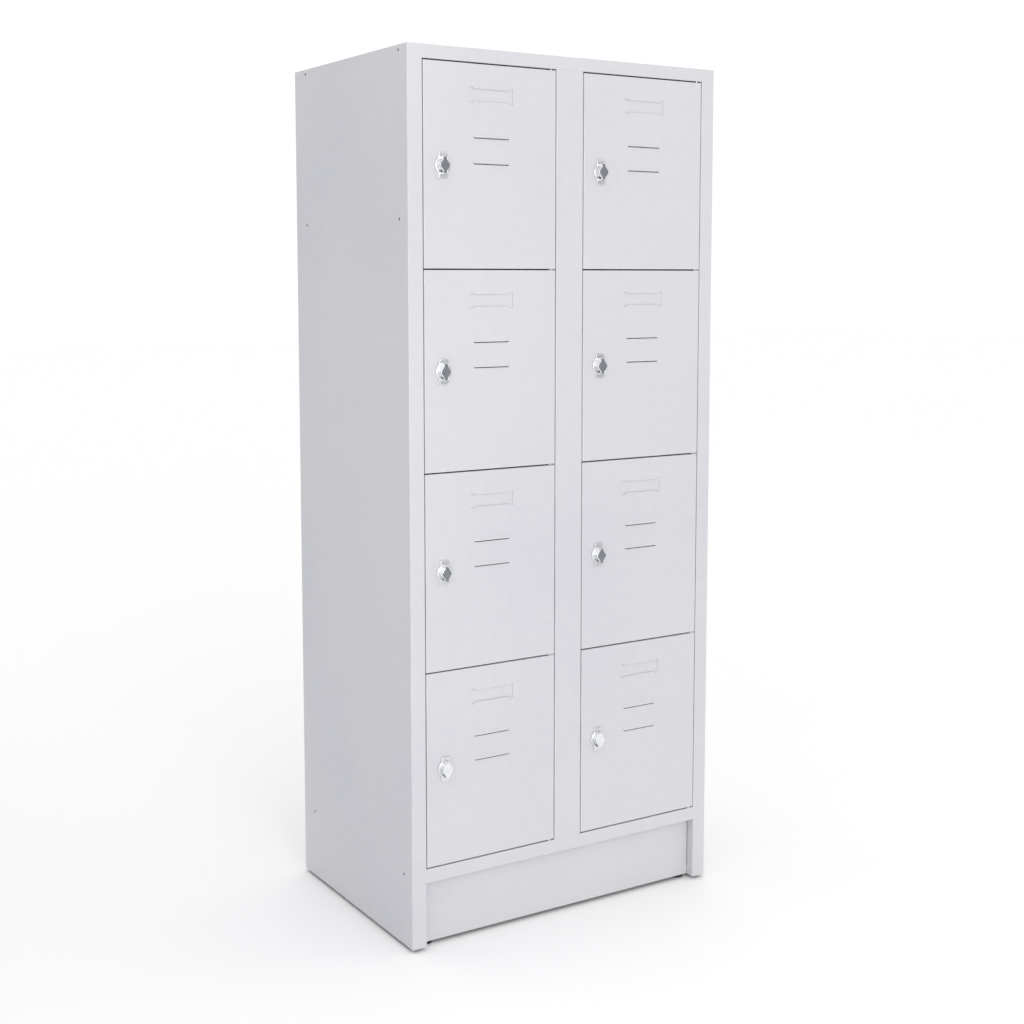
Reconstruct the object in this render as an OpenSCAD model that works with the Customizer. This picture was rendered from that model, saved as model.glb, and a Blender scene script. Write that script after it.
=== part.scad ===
// Eight-compartment steel locker: two columns of four doors, each with a padlockable turn latch.
// Millimetres, +Z up, front towards -Y, origin on the floor at the middle of the overall box.

/* [Cabinet] */
// Overall width
cab_w = 800; // [600:10:1200]
// Depth of the carcass, front face to rear face
cab_d = 550; // [400:10:700]
// Overall height, standing on its feet
cab_h = 1920; // [1500:10:2400]
// Clear height between the floor and the carcass
foot_gap = 8; // [6:1:15]
// Thickness of the folded sheet
sheet = 1; // [0.8:0.1:1.5]

/* [Front frame] */
// Visible width of each outer stile
stile_w = 35; // [30:1:50]
// Visible width of the centre stile
centre_w = 70; // [60:1:100]
// Visible height of the top rail
top_rail = 28.5; // [20:0.5:50]
// Visible height of the bottom rail
bottom_rail = 30.5; // [20:0.5:50]
// Height of the plinth, from the carcass bottom to the bottom rail
plinth_h = 142; // [80:1:200]
// Setback of the plinth behind the front face
plinth_set = 22; // [15:1:60]
// Depth of the plinth's end folds
plinth_fold = 11; // [8:1:20]
// Depth of the frame's return folds
frame_depth = 22; // [20:1:30]
// Width of the door stop lip on the latch side, past the stile's edge
lip_w = 12; // [10:1:16]
// Width of the folds that hold the back panel
rear_fold = 20; // [15:1:40]

/* [Doors] */
// Gap at each side of a door
side_gap = 2; // [1.8:0.1:3]
// Gap above and below a door
door_gap = 3; // [2.8:0.1:5]
// Depth of the folded door pan
pan_depth = 20; // [16:1:20]
// Width of the return lips at the back of a door
pan_lip = 10; // [6:1:15]

/* [Hinges] */
// Diameter of the pivot pins
pin_d = 6; // [5:0.5:8]
// Distance of the pivot from the door's edge
pivot_in = 10; // [9:0.5:14]
// Distance of the pivot behind the door's face
pivot_back = 6; // [5:0.5:6]
// Reach of a pin into the door
pin_reach = 9; // [6:1:14]
// Thickness of the bracket tongue that carries a pin
tongue_t = 2; // [1.5:0.1:2.2]
// Height of the bracket leg inside the stile
bracket_h = 30; // [20:1:50]
// Running clearance of pins and spindles, on the radius
run_clear = 0.05; // [0.03:0.01:0.09]

/* [Vents and card holder] */
// Length of a vent louver
louver_l = 88; // [60:1:120]
// Height of a louver's hood
louver_h = 9; // [7:0.5:14]
// How far a hood stands out
louver_out = 3; // [2:0.25:5]
// Slot left open below a hood
louver_slot = 1.5; // [1:0.25:3]
// Distance from the door's top to the first hood's lower edge
louver_top = 152; // [130:1:170]
// Distance between the two louvers
louver_pitch = 53.5; // [30:0.5:70]
// Width of the pressed card field
card_w = 108; // [80:1:140]
// Height of the pressed card field
card_h = 34; // [25:1:45]
// Depth of the card field
card_deep = 2; // [1.8:0.1:3]
// Distance from the door's top to the field
card_top = 47; // [35:1:60]
// Length of the two card rails
rail_l = 89; // [60:1:100]
// Height of each card rail
rail_h = 4; // [3:0.5:6]

/* [Turn latch] */
// Distance of the latch from the door's free edge
latch_in = 45; // [35:1:70]
// Diameter of the round part of the rosette
rosette_d = 38; // [32:1:50]
// Overall height of the rosette
rosette_h = 55; // [45:1:70]
// Width of the rosette's two lugs
lug_w = 23; // [16:1:28]
// Thickness of the rosette
rosette_t = 3; // [2:0.5:5]
// Width of the knob
knob_w = 27; // [24:0.5:34]
// Height of the knob
knob_h = 37; // [34:0.5:48]
// Width of the knob's two nubs
nub_w = 9.5; // [8:0.5:13]
// Thickness of the knob
knob_t = 9.7; // [9:0.1:14]
// Height of the padlock eye through the knob
eye_h = 6; // [5:0.25:7]
// Depth of the padlock eye
eye_d = 5; // [4.5:0.25:6]
// Distance of the eye below the spindle
eye_drop = 12.3; // [11:0.1:14]
// Diameter of the spindle
spindle_d = 8; // [7:0.5:10]
// Outer diameter of the rosette's threaded neck
neck_d = 18; // [14:0.5:22]
// Length of the neck behind the door's face
neck_l = 14; // [10:1:18]
// Width across the flats of the lock nut
nut_w = 24; // [20:0.5:30]
// Thickness of the lock nut
nut_t = 4; // [3:0.5:6]
// Thickness of the cam
cam_t = 2; // [1.5:0.1:3]
// Width of the cam
cam_w = 16; // [14:1:22]
// Overlap of the closed cam behind the frame
cam_catch = 11; // [8:1:16]
// Thickness of a strike plate
strike_t = 1.5; // [1:0.1:2.5]
// Height of a strike plate
strike_h = 44; // [30:1:60]

/* [Shelves and feet] */
// Height of the folds on a shelf
shelf_fold = 18; // [10:1:30]
// Diameter of a foot's pad
pad_d = 36; // [28:1:50]
// Distance of a foot from the side of the cabinet
foot_x = 52; // [50:1:70]
// Diameter of a foot's threaded stem
stem_d = 8; // [6:1:12]
// Length that a foot can be screwed out
foot_travel = 20; // [10:1:30]
// Diameter of the joining holes in the side panels
join_d = 6; // [5:0.5:9]

/* [Hidden] */
$fn = 48;
rows = 4;
clear = 0.2;
rosette_gap = 0.3;
slit = 0.1;
knob_reach = rosette_t + rosette_gap + knob_t;
front = (knob_reach - cab_d) / 2;
rear = (knob_reach + cab_d) / 2;
half_w = cab_w / 2;
jamb = half_w - stile_w;
mid = centre_w / 2;
carcass_bottom = foot_gap;
plinth_top = carcass_bottom + plinth_h;
opening_bottom = plinth_top + bottom_rail;
opening_top = cab_h - top_rail;
pitch = (opening_top - opening_bottom - door_gap) / rows;
column_w = jamb - mid;
door_w = column_w - 2 * side_gap;
door_h = pitch - door_gap;
lip_front = front + frame_depth;
lip_back = lip_front + sheet;
inner_front = lip_back + strike_t;
cam_front = inner_front + 0.5;
cam_len = latch_in + side_gap + cam_catch;
screw_t = 2.5;
inner_rear = rear - 2 * sheet;
shelf_front = cam_front + cam_t + 2;
pin_x = door_w - pivot_in;
collar_d = 2 * (pivot_back - sheet - slit);
head_t = 1.5;
tongue_l = side_gap + pivot_in + pin_d;
tongue_y = sheet + slit;
tongue_back = 2 * pivot_back - tongue_y;
bracket_leg = 2;
buffer_d = 8;
buffer_rise = 150;
bracket_z = carcass_bottom + 24;
bracket_reach = 22;
plate_t = 3;
boss_h = 8;
foot_y = plinth_set + plinth_fold + stem_d + 3;
stem_top = bracket_z + plate_t + boss_h + foot_travel + 4;
join_front = 38;
join_rear = 58;
join_top = 11;
join_mid = 354;
join_low = 158;
powder = [0.86, 0.86, 0.88];
chrome = [0.80, 0.80, 0.82];
zinc = [0.68, 0.70, 0.72];
rubber = [0.08, 0.08, 0.09];

// Doors 1 to 4 are the left column from the top down, and 5 to 8 the right column.
function column(i) = i > rows ? 1 : 0;
function row(i) = (i - 1) % rows;
function column_x(c) = c == 0 ? -jamb : mid;
function gap_z(k) = opening_bottom + door_gap / 2 + k * pitch;
function door_x(i) = column_x(column(i)) + side_gap;
function door_z(i) = gap_z(rows - 1 - row(i)) + door_gap / 2;

// A block from its lowest to its highest corner
module block(low, high) {
    translate(low) cube(high - low);
}

// A round bar along Y
module bar_y(r, y0, y1) {
    translate([0, y1, 0]) rotate([90, 0, 0]) cylinder(h = y1 - y0, r = r);
}

// Places a child at a door's lower left front corner, or on a latch's axis at the door's face
module at_door(i) {
    translate([door_x(i), front, door_z(i)]) children();
}

module at_latch(i) {
    at_door(i) translate([latch_in, 0, door_h / 2]) children();
}

// Places a child on the pivot axis at gap k of column c
module at_pivot(c, k) {
    translate([column_x(c) + side_gap + pin_x, front + pivot_back, gap_z(k)]) children();
}

// The three pairs of joining holes in the left side panel's wall
module join_holes() {
    heights = [cab_h - join_top, cab_h - join_mid, carcass_bottom + join_low];
    for (y = [front + join_front, rear - join_rear], z = heights)
        translate([-half_w - 1, y, z]) rotate([0, 90, 0]) cylinder(h = sheet + 2, r = join_d / 2);
}

// Side wall, front stile and rear fold in one folded sheet, without its stop lip
module side_sheet() {
    z0 = carcass_bottom;
    z1 = cab_h - sheet;
    difference() {
        union() {
            block([-half_w, front, z0], [sheet - half_w, rear, z1]);
            block([-half_w, front, z0], [-jamb, front + sheet, z1]);
            block([-jamb - sheet, front, z0], [-jamb, lip_front, z1]);
            block([-half_w, rear - sheet, z0], [rear_fold - half_w, rear, z1]);
        }
        join_holes();
    }
}

module side_panel_left() {
    color(powder) union() {
        side_sheet();
        block([-jamb - sheet, lip_front, opening_bottom], [lip_w - jamb, lip_back, opening_top]);
    }
}

// The slots in a hinge stile that the bracket tongues pass through
module tongue_slots(c) {
    for (k = [1 : rows - 1])
        translate([column_x(c) + column_w, front, gap_z(k)])
            block([-1, sheet, -tongue_t / 2 - slit], [sheet + 1, tongue_back + slit, tongue_t / 2 + slit]);
}

module side_panel_right() {
    color(powder) difference() {
        union() {
            mirror([1, 0, 0]) side_sheet();
            block([jamb, lip_front, opening_bottom], [jamb + lip_w, lip_back, opening_top]);
        }
        tongue_slots(1);
    }
}

module centre_stile() {
    color(powder) difference() {
        union() {
            block([-mid, front, opening_bottom], [mid, front + sheet, opening_top]);
            block([-mid, front, opening_bottom], [sheet - mid, lip_back, opening_top]);
            block([mid - sheet, front, opening_bottom], [mid, lip_back, opening_top]);
            block([-mid, lip_front, opening_bottom], [lip_w - mid, lip_back, opening_top]);
            block([mid - sheet, lip_front, opening_bottom], [mid + lip_w, lip_back, opening_top]);
        }
        tongue_slots(0);
    }
}

module centre_partition() {
    color(powder) union() {
        block([-sheet / 2, lip_back, opening_bottom], [sheet / 2, inner_rear, cab_h - sheet]);
        block([2 * sheet - mid, lip_back, opening_bottom], [sheet / 2, lip_back + sheet, opening_top]);
    }
}

module top_panel() {
    color(powder) difference() {
        union() {
            block([-half_w, front, cab_h - sheet], [half_w, rear, cab_h]);
            block([-jamb, front, opening_top], [jamb, front + sheet, cab_h]);
            block([-jamb, front, opening_top], [jamb, lip_back, opening_top + sheet]);
        }
        for (c = [0, 1])
            at_pivot(c, rows) cylinder(h = 2 * door_gap, r = pin_d / 2);
    }
}

module bottom_panel() {
    z0 = opening_bottom - sheet;
    fold_y = front + plinth_set + sheet;
    color(powder) difference() {
        union() {
            block([-jamb, front, z0], [jamb, lip_back, opening_bottom]);
            block([sheet - half_w, lip_back, z0], [half_w - sheet, inner_rear, opening_bottom]);
            for (s = [0, 1])
                mirror([s, 0, 0])
                    block([jamb + sheet, front + sheet, z0], [half_w - sheet, lip_back, opening_bottom]);
            block([-jamb, front, plinth_top], [jamb, front + sheet, opening_bottom]);
            block([-jamb, front, plinth_top], [jamb, fold_y, plinth_top + sheet]);
        }
        for (c = [0, 1])
            at_pivot(c, 0) translate([0, 0, -2 * door_gap]) cylinder(h = 2 * door_gap, r = pin_d / 2);
    }
}

module back_panel() {
    x = half_w - sheet;
    color(powder) block([-x, inner_rear, carcass_bottom], [x, rear - sheet, cab_h - sheet]);
}

// A shelf with folded front and rear edges
module shelf(c, k) {
    x0 = c == 0 ? sheet - half_w : sheet / 2;
    x1 = c == 0 ? -sheet / 2 : half_w - sheet;
    z = gap_z(k);
    block([x0, shelf_front, z - sheet], [x1, inner_rear, z]);
    block([x0, shelf_front, z - shelf_fold], [x1, shelf_front + sheet, z]);
    block([x0, inner_rear - sheet, z - shelf_fold], [x1, inner_rear, z]);
}

module shelves() {
    color(powder) for (c = [0, 1], k = [1 : rows - 1])
        union() shelf(c, k);
}

module plinth_panel() {
    y = front + plinth_set;
    color(powder) union() {
        block([-jamb, y, carcass_bottom + 1], [jamb, y + sheet, plinth_top]);
        for (s = [-1, 1])
            translate([s * (jamb - sheet / 2), 0, 0])
                block([-sheet / 2, y, carcass_bottom + 1], [sheet / 2, y + plinth_fold, plinth_top]);
    }
}

// Places a child on each foot's axis at floor level: front left, front right, rear left, rear right
module at_foot(n) {
    x = half_w - foot_x;
    translate([n % 2 == 1 ? -x : x, n < 3 ? front + foot_y : rear - foot_y, 0]) children();
}

module foot_brackets() {
    wall = foot_x - sheet;
    color(zinc) for (n = [1 : 4])
        at_foot(n) mirror([n % 2 == 1 ? 0 : 1, 0, 0]) difference() {
            union() {
                block([-wall, -stem_d, bracket_z], [bracket_reach, bracket_reach, bracket_z + plate_t]);
                block([-wall, -stem_d, bracket_z], [plate_t - wall, bracket_reach, bracket_z + 30]);
                cylinder(h = bracket_z + plate_t + boss_h, r = stem_d);
            }
            cylinder(h = bracket_z + 30, r = stem_d / 2 + run_clear);
            translate([0, 0, -1]) cylinder(h = bracket_z + 1, r = 2 * stem_d);
        }
}

module latch_strikes() {
    color(zinc) for (i = [1 : 2 * rows])
        translate([column_x(column(i)), 0, door_z(i) + door_h / 2])
            block([1, lip_back, -strike_h / 2], [lip_w, inner_front, strike_h / 2]);
}

module hinge_brackets() {
    color(zinc) for (c = [0, 1], k = [1 : rows - 1])
        difference() {
            translate([column_x(c) + column_w, front, gap_z(k)]) union() {
                block([-tongue_l, tongue_y, -tongue_t / 2], [sheet, tongue_back, tongue_t / 2]);
                block([sheet, tongue_y, -bracket_h / 2], [sheet + bracket_leg, tongue_back, bracket_h / 2]);
            }
            at_pivot(c, k) cylinder(h = bracket_h, r = pin_d / 2, center = true);
        }
}

// A pin with a carrying collar up to the underside of the door above it
module pivot_pin(low, collar_low, collar_high, high) {
    translate([0, 0, low]) cylinder(h = high - low, r = pin_d / 2);
    translate([0, 0, collar_low]) cylinder(h = collar_high - collar_low, r = collar_d / 2);
}

module hinge_pins() {
    reach = door_gap / 2 + pin_reach;
    ledge = door_gap / 2 - run_clear;
    flange = door_gap / 2 + sheet;
    color(zinc) for (c = [0, 1]) {
        for (k = [1 : rows - 1])
            at_pivot(c, k) pivot_pin(-reach, tongue_t / 2, ledge, reach);
        at_pivot(c, rows) pivot_pin(-reach, flange, flange + head_t, flange);
        at_pivot(c, 0) pivot_pin(-door_gap, -door_gap / 2, ledge, reach);
    }
}

module door_buffers() {
    color(rubber) for (i = [1 : 2 * rows], s = [-1, 1])
        at_door(i) translate([buffer_d / 2, 0, door_h / 2 + s * buffer_rise])
            bar_y(buffer_d / 2, pan_depth + clear, frame_depth);
}

module foot() {
    color(rubber) union() {
        cylinder(h = foot_gap / 2, r = pad_d / 2);
        translate([0, 0, foot_gap / 2]) cylinder(h = foot_gap / 2 - 1, r1 = pad_d / 2 - 1, r2 = pad_d / 4);
        cylinder(h = stem_top, r = stem_d / 2);
        translate([0, 0, foot_gap - 2]) cylinder(h = foot_gap, r = stem_d, $fn = 6);
    }
}

// A wedge-shaped hood, long in X, open at its lower edge and closed at its sloping ends
module hood_body(l, h, out, back) {
    e = l / 2;
    intersection() {
        rotate([90, 0, 90]) linear_extrude(height = l, center = true)
            polygon([[back, 0], [-out, 0], [-out, h / 4], [0, h], [back, h]]);
        linear_extrude(height = h)
            polygon([[-e, back], [-e, 0], [out - e, -out], [e - out, -out], [e, 0], [e, back]]);
    }
}

module louver() {
    t = sheet;
    difference() {
        hood_body(louver_l, louver_h, louver_out, t);
        translate([0, 0, -0.01]) hood_body(louver_l - 2 * t, louver_h - 1.5 * t, louver_out - t, t + 0.01);
    }
}

module louver_cut() {
    x = louver_l / 2 - sheet;
    block([-x, -1, -louver_slot], [x, sheet + 1, louver_h - 1.5 * sheet]);
}

// A shallow pressed field with a flush rail along its top and its bottom that a card slides behind
module card_field() {
    x = card_w / 2;
    z = card_h;
    difference() {
        block([-x - sheet, 0, -z - sheet], [x + sheet, card_deep + sheet, sheet]);
        block([-x, -1, -z], [x, card_deep, 0]);
    }
    for (low = [-z, -rail_h])
        block([-rail_l / 2, 0, low], [rail_l / 2, sheet, low + rail_h]);
}

// Places a child at the card field's top, or at each louver, from a door's corner
module at_card() {
    translate([door_w / 2, 0, door_h - card_top]) children();
}

module at_louvers() {
    for (k = [0, 1])
        translate([door_w / 2, 0, door_h - louver_top - k * louver_pitch]) children();
}

module door_pan() {
    difference() {
        cube([door_w, pan_depth, door_h]);
        block([sheet, sheet, sheet], [door_w - sheet, pan_depth + 1, door_h - sheet]);
    }
    for (x = [sheet, door_w - sheet - pan_lip])
        block([x, pan_depth - sheet, sheet], [x + pan_lip, pan_depth, door_h - sheet]);
}

module door(i) {
    color(powder) at_door(i) union() {
        difference() {
            door_pan();
            at_card() block([-card_w / 2, -1, -card_h], [card_w / 2, sheet + 1, 0]);
            at_louvers() louver_cut();
            translate([latch_in, 0, door_h / 2]) bar_y(neck_d / 2 + clear, -1, sheet + 1);
            translate([pin_x, pivot_back, -1]) cylinder(h = door_h + 2, r = pin_d / 2 + run_clear);
        }
        at_card() card_field();
        at_louvers() louver();
    }
}

module rosette(i) {
    lug_z = (rosette_h - lug_w) / 2;
    color(chrome) at_latch(i) difference() {
        union() {
            bar_y(rosette_d / 2, -rosette_t, 0);
            for (z = [-lug_z, lug_z])
                translate([0, 0, z]) bar_y(lug_w / 2, -rosette_t, 0);
            block([-lug_w / 2, -rosette_t, -lug_z], [lug_w / 2, 0, lug_z]);
            bar_y(neck_d / 2, -1, neck_l);
        }
        bar_y(spindle_d / 2 + run_clear, -rosette_t - 1, neck_l + 1);
    }
}

module lock_nut(i) {
    color(zinc) at_latch(i) difference() {
        translate([0, sheet + nut_t, 0]) rotate([90, 0, 0]) cylinder(h = nut_t, r = nut_w / sqrt(3), $fn = 6);
        bar_y(neck_d / 2, 0, sheet + nut_t + 1);
    }
}

// A rhombus with rounded corners and a flat nub above and below
module knob_outline() {
    r = 5;
    a = knob_w / 2 - r;
    b = knob_h / 2 - r - 1.5;
    n = [b, a] * r / norm([a, b]);
    union() {
        polygon([
            [a, 0] + n, [0, b] + n, [-n[0], b + n[1]], [-a - n[0], n[1]],
            [-a - n[0], -n[1]], [-n[0], -b - n[1]], [n[0], -b - n[1]], [a + n[0], -n[1]]
        ]);
        for (p = [[a, 0], [-a, 0], [0, b], [0, -b]])
            translate(p) circle(r = r);
        square([nub_w, knob_h], center = true);
    }
}

module knob(i) {
    back = -rosette_t - rosette_gap;
    eye_y = back - 1.2 - eye_d;
    color(chrome) at_latch(i) union() {
        difference() {
            translate([0, back, 0]) rotate([90, 0, 0]) linear_extrude(height = knob_t) knob_outline();
            block([-knob_w, eye_y, -eye_drop - eye_h / 2], [knob_w, eye_y + eye_d, -eye_drop + eye_h / 2]);
        }
        bar_y(spindle_d / 2, back - 1, cam_front - front);
    }
}

// The cam hangs down when the latch is open, with the screw that holds it on the spindle
module cam(i) {
    y0 = cam_front - front;
    tip = cam_w / 2;
    color(zinc) at_latch(i) {
        union() {
            bar_y(cam_w / 2, y0, y0 + cam_t);
            block([-cam_w / 2, y0, tip - cam_len], [cam_w / 2, y0 + cam_t, 0]);
            translate([0, 0, tip - cam_len]) bar_y(tip, y0, y0 + cam_t);
        }
        bar_y(spindle_d / 2, y0 + cam_t, y0 + cam_t + screw_t);
    }
}

side_panel_left();
side_panel_right();
centre_stile();
centre_partition();
top_panel();
bottom_panel();
back_panel();
shelves();
plinth_panel();
foot_brackets();
latch_strikes();
hinge_brackets();
hinge_pins();
door_buffers();
for (n = [1 : 4])
    at_foot(n) foot();
for (i = [1 : 2 * rows]) {
    door(i);
    rosette(i);
    lock_nut(i);
    knob(i);
    cam(i);
}
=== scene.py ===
import math
import bmesh
import bpy
import numpy as np
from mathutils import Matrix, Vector


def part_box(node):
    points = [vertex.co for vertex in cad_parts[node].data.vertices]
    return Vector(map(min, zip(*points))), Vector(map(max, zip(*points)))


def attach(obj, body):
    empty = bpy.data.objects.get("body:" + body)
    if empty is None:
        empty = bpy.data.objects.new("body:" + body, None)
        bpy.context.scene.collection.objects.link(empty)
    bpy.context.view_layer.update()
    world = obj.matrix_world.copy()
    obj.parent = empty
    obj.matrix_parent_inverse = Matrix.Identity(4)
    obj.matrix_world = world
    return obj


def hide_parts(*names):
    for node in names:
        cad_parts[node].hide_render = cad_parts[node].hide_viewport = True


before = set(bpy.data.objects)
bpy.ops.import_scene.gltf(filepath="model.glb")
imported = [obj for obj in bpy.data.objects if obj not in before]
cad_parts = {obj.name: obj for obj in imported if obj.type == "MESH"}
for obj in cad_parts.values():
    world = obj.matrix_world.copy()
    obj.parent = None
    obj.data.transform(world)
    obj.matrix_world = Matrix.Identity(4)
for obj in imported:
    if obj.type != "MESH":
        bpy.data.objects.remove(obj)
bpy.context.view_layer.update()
mm = 0.001
sheetGauge = 1.0 * mm
weldWithin, sliverBelow = 0.002 * mm, 0.0001 * mm
onPlane = 0.001 * mm  # how near a point has to be to count as lying on a plane
doorNumbers = range(1, 9)
footNumbers = range(1, 5)
boxes = {name: np.array(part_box(name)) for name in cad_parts}
print("frame loaded:", len(boxes), "nodes")


def latticeCells(first, second):
    # corner numbers of every cell of a first x second lattice; a cell's normal is first x second
    index = np.arange(first * second).reshape(first, second)
    return np.stack([index[:-1, :-1], index[1:, :-1], index[1:, 1:], index[:-1, 1:]], axis=-1)


def cellMiddle(values):
    # the mean of the four corners of each cell
    return (values[:-1, :-1] + values[1:, :-1] + values[1:, 1:] + values[:-1, 1:]) / 4


def foldedLine(corners, radii, steps=4, margin=0.5 * mm):
    # straight runs joined by arcs: an inner corner of radius r becomes points on the circle of radius r
    # that touches both runs, and a radius of 0 leaves a plain point on the run
    corners = np.asarray(corners, float)
    rounded, sharp, bend = [corners[:1]], [corners[:1]], [[0.0]]
    for k, radius in enumerate(radii, start=1):
        here = corners[k]
        if radius == 0:
            rounded.append(here[None])
            sharp.append(here[None])
            bend.append([0.0])
            continue
        back = (corners[k - 1] - here) / np.linalg.norm(corners[k - 1] - here)
        ahead = (corners[k + 1] - here) / np.linalg.norm(corners[k + 1] - here)
        half = math.acos(float(np.dot(back, ahead))) / 2
        reach = radius / math.tan(half)
        centre = here + (back + ahead) / np.linalg.norm(back + ahead) * radius / math.sin(half)
        turn = math.pi - 2 * half
        t = np.linspace(0, 1, steps + 1)[:, None]
        start, end = here + back * reach - centre, here + ahead * reach - centre
        arc = centre + (np.sin((1 - t) * turn) * start + np.sin(t * turn) * end) / math.sin(turn)
        room = [np.linalg.norm(corners[k + way] - here) - reach for way in (-1, 1)]
        before = here + back * (reach + min(margin, room[0]))
        after = here + ahead * (reach + min(margin, room[1]))
        rounded.append(np.vstack([before, arc, after]))
        sharp.append(np.vstack([before, np.repeat(here[None], steps + 1, axis=0), after]))
        bend.append([0.0] + [1.0] * (steps + 1) + [0.0])
    rounded.append(corners[-1:])
    sharp.append(corners[-1:])
    bend.append([0.0])
    return np.vstack(rounded), np.vstack(sharp), np.concatenate(bend)


def ringPatch(firstLines, secondLines, centre, radius):
    # cells between a rectangle on lattice lines and a circle: the circle has a point straight inwards
    # of each lattice point on the rectangle
    first, second = np.asarray(firstLines), np.asarray(secondLines)
    edge = np.vstack([
        np.stack([first[:-1], np.full(len(first) - 1, second[0])], axis=1),
        np.stack([np.full(len(second) - 1, first[-1]), second[:-1]], axis=1),
        np.stack([first[:0:-1], np.full(len(first) - 1, second[-1])], axis=1),
        np.stack([np.full(len(second) - 1, first[0]), second[:0:-1]], axis=1)])
    inward = edge - centre
    circle = centre + radius * inward / np.linalg.norm(inward, axis=1, keepdims=True)
    n = len(edge)
    k = np.arange(n)
    after = (k + 1) % n
    return np.vstack([edge, circle]), np.stack([k, after, n + after, n + k], axis=1)


def inside(values, low, high):
    # True where low < value < high
    return (values > low) & (values < high)


class Piece:
    # gathers the patches of one piece and makes its mesh
    def __init__(self, name):
        self.name, self.points, self.faces, self.fold, self.count = name, [], [], [], 0

    def add(self, points, faces, fold=None):
        points = np.asarray(points, float).reshape(-1, 3)
        self.points.append(points)
        self.faces += (np.asarray(faces) + self.count).tolist()
        self.fold.append(np.zeros(len(points)) if fold is None else np.asarray(fold).reshape(-1))
        self.count += len(points)
        return self

    def mesh(self, gauge=0.0, turnOut=False, smoothTo=38):
        mesh = bpy.data.meshes.new(self.name)
        mesh.from_pydata(np.vstack(self.points).tolist(), [], self.faces)
        layer = mesh.attributes.new("fold", "FLOAT", "POINT")
        layer.data.foreach_set("value", np.concatenate(self.fold).astype(np.float32))
        work = bmesh.new()
        work.from_mesh(mesh)
        bmesh.ops.remove_doubles(work, verts=work.verts, dist=weldWithin)
        bmesh.ops.dissolve_degenerate(work, edges=work.edges, dist=sliverBelow)
        if turnOut:
            bmesh.ops.recalc_face_normals(work, faces=work.faces)
        work.to_mesh(mesh)
        work.free()
        if gauge:
            mesh = thickened(mesh, gauge)
        mesh.shade_smooth()
        mesh.set_sharp_from_angle(angle=math.radians(smoothTo))
        return mesh


def thickened(mesh, gauge):
    # the sheet's visible side stays where it is and its wall grows inwards
    holder = bpy.data.objects.new("holder", mesh)
    bpy.context.scene.collection.objects.link(holder)
    wall = holder.modifiers.new("wall", "SOLIDIFY")
    wall.thickness, wall.offset = gauge, -1
    wall.use_quality_normals = True
    return settled(holder)


def settled(holder):
    # the mesh with its modifiers applied; the holder goes
    scene = bpy.context.evaluated_depsgraph_get()
    ready = bpy.data.meshes.new_from_object(holder.evaluated_get(scene))
    bpy.data.objects.remove(holder)
    return ready


def place(name, mesh, material, body, node):
    # a finished piece that rides on a body, in place of a node
    piece = bpy.data.objects.new(name, mesh)
    bpy.context.scene.collection.objects.link(piece)
    mesh.materials.clear()
    mesh.materials.append(material)
    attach(piece, body)
    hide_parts(node)


def moved(mesh, name, shift):
    # a copy of a mesh with every point shifted
    copy = mesh.copy()
    copy.name = name
    points = np.empty(len(copy.vertices) * 3, np.float32)
    copy.vertices.foreach_get("co", points)
    points = points.reshape(-1, 3) + np.asarray(shift, np.float32)
    copy.vertices.foreach_set("co", points.ravel())
    copy.update()
    return copy


class Wire:
    # one output socket; arithmetic on it adds Math nodes, with plain numbers on either side
    def __init__(self, finish, socket):
        self.finish, self.socket = finish, socket

    def sum(self, operation, first, second):
        return self.finish.node("ShaderNodeMath", {"operation": operation}, {0: first, 1: second})

    def __add__(self, other):
        return self.sum("ADD", self, other)

    def __sub__(self, other):
        return self.sum("SUBTRACT", self, other)

    def __rsub__(self, other):
        return self.sum("SUBTRACT", other, self)

    def __mul__(self, other):
        return self.sum("MULTIPLY", self, other)

    __radd__ = __add__
    __rmul__ = __mul__


class Finish:
    # one material and the nodes that make it
    def __init__(self, name):
        self.material = bpy.data.materials.new(name)
        self.material.use_nodes = True
        self.tree = self.material.node_tree
        self.tree.nodes.clear()

    def node(self, kind, settings=None, values=None, out=0):
        made = self.tree.nodes.new(kind)
        for name, value in (settings or {}).items():
            setattr(made, name, value)
        for name, value in (values or {}).items():
            if isinstance(value, Wire):
                self.tree.links.new(value.socket, made.inputs[name])
            else:
                made.inputs[name].default_value = value
        return Wire(self, made.outputs[out]) if made.outputs else None

    def noise(self, where, scale, detail=2.0, roughness=0.5):
        return self.node("ShaderNodeTexNoise", None,
                         {"Vector": where, "Scale": scale, "Detail": detail, "Roughness": roughness})

    def between(self, value, low, high):
        # 0 below low, 1 above high, and straight between them
        return self.node("ShaderNodeMapRange", {"clamp": True},
                         {"Value": value, "From Min": low, "From Max": high})

    def blend(self, share, first, second):
        # a colour that goes from first to second as share goes from 0 to 1; sockets 0, 6, 7 are share, A, B
        return self.node("ShaderNodeMix", {"data_type": "RGBA"}, {0: share, 6: first, 7: second}, out=2)

    def shader(self, values):
        surface = self.node("ShaderNodeBsdfPrincipled", None, values)
        self.node("ShaderNodeOutputMaterial", None, {"Surface": surface})
        return self.material


def objectPlace(finish):
    return finish.node("ShaderNodeTexCoord", out="Object")


def bumpOf(finish, height, strength, distance):
    return finish.node("ShaderNodeBump", None,
                       {"Height": height, "Strength": strength, "Distance": distance}, out="Normal")


# The coat: its tones, the size of its ripples, and how much its folds and handled places differ
coat = {
    "light": (0.605, 0.600, 0.622, 1), "deep": (0.556, 0.558, 0.592, 1), "edgeWearAndHighlight": (0.70, 0.70, 0.71, 1),
    "gloss": 0.36, "driftPerMetre": 1.6, "mottlePerMetre": 45, "peelPerMetre": 520, "grainPerMetre": 3800,
    "peelDepth": 0.06 * mm, "peelStrength": 0.35, "foldWearAndHighlight": 0.5, "hazePerMetre": 9,
}


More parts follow.
